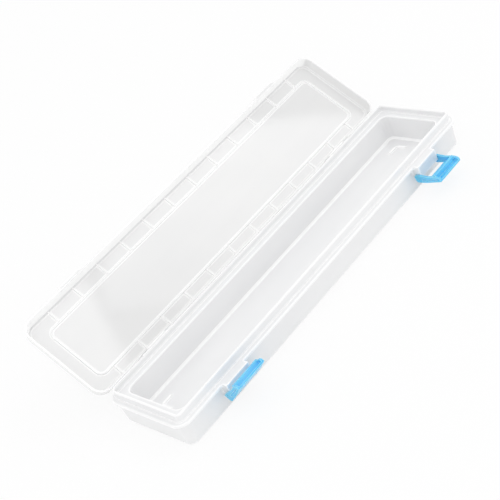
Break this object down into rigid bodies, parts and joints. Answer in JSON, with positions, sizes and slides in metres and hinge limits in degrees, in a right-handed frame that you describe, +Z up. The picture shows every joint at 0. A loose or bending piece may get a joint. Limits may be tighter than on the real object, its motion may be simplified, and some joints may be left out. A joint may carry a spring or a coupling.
{
  "type": "pen box",
  "caption": "Long shallow pen box of frosted clear plastic: a tray with a tall rim and a hinged lid that blue snap latches hold shut.",
  "frame": {"origin": "middle of the tray's flat underside", "axes": "+X along the box, +Z up, latches on the -Y side, hinge on the +Y side"},
  "size_m": [0.339, 0.1692, 0.0718],
  "materials": {
    "clear_plastic": "frosted, translucent",
    "blue_plastic": "satin"
  },
  "bodies": {
    "base": {"base": "clear_plastic"},
    "lid": {"lid": "clear_plastic"},
    "latch_near": {"latch_near": "blue_plastic"},
    "latch_far": {"latch_far": "blue_plastic"}
  },
  "joints": [
    {"name": "lid_hinge", "type": "hinge", "parent": "base", "child": "lid", "pos_m": [0, 0.0401, 0.0216], "axis": [1, 0, 0], "range_deg": [0, 141]},
    {"name": "latch_near_pivot", "type": "hinge", "parent": "base", "child": "latch_near", "pos_m": [-0.116, -0.0408, 0.0134], "axis": [1, 0, 0], "range_deg": [-45, 65]},
    {"name": "latch_far_pivot", "type": "hinge", "parent": "base", "child": "latch_far", "pos_m": [0.116, -0.0408, 0.0134], "axis": [1, 0, 0], "range_deg": [-82, 28]}
  ]
}
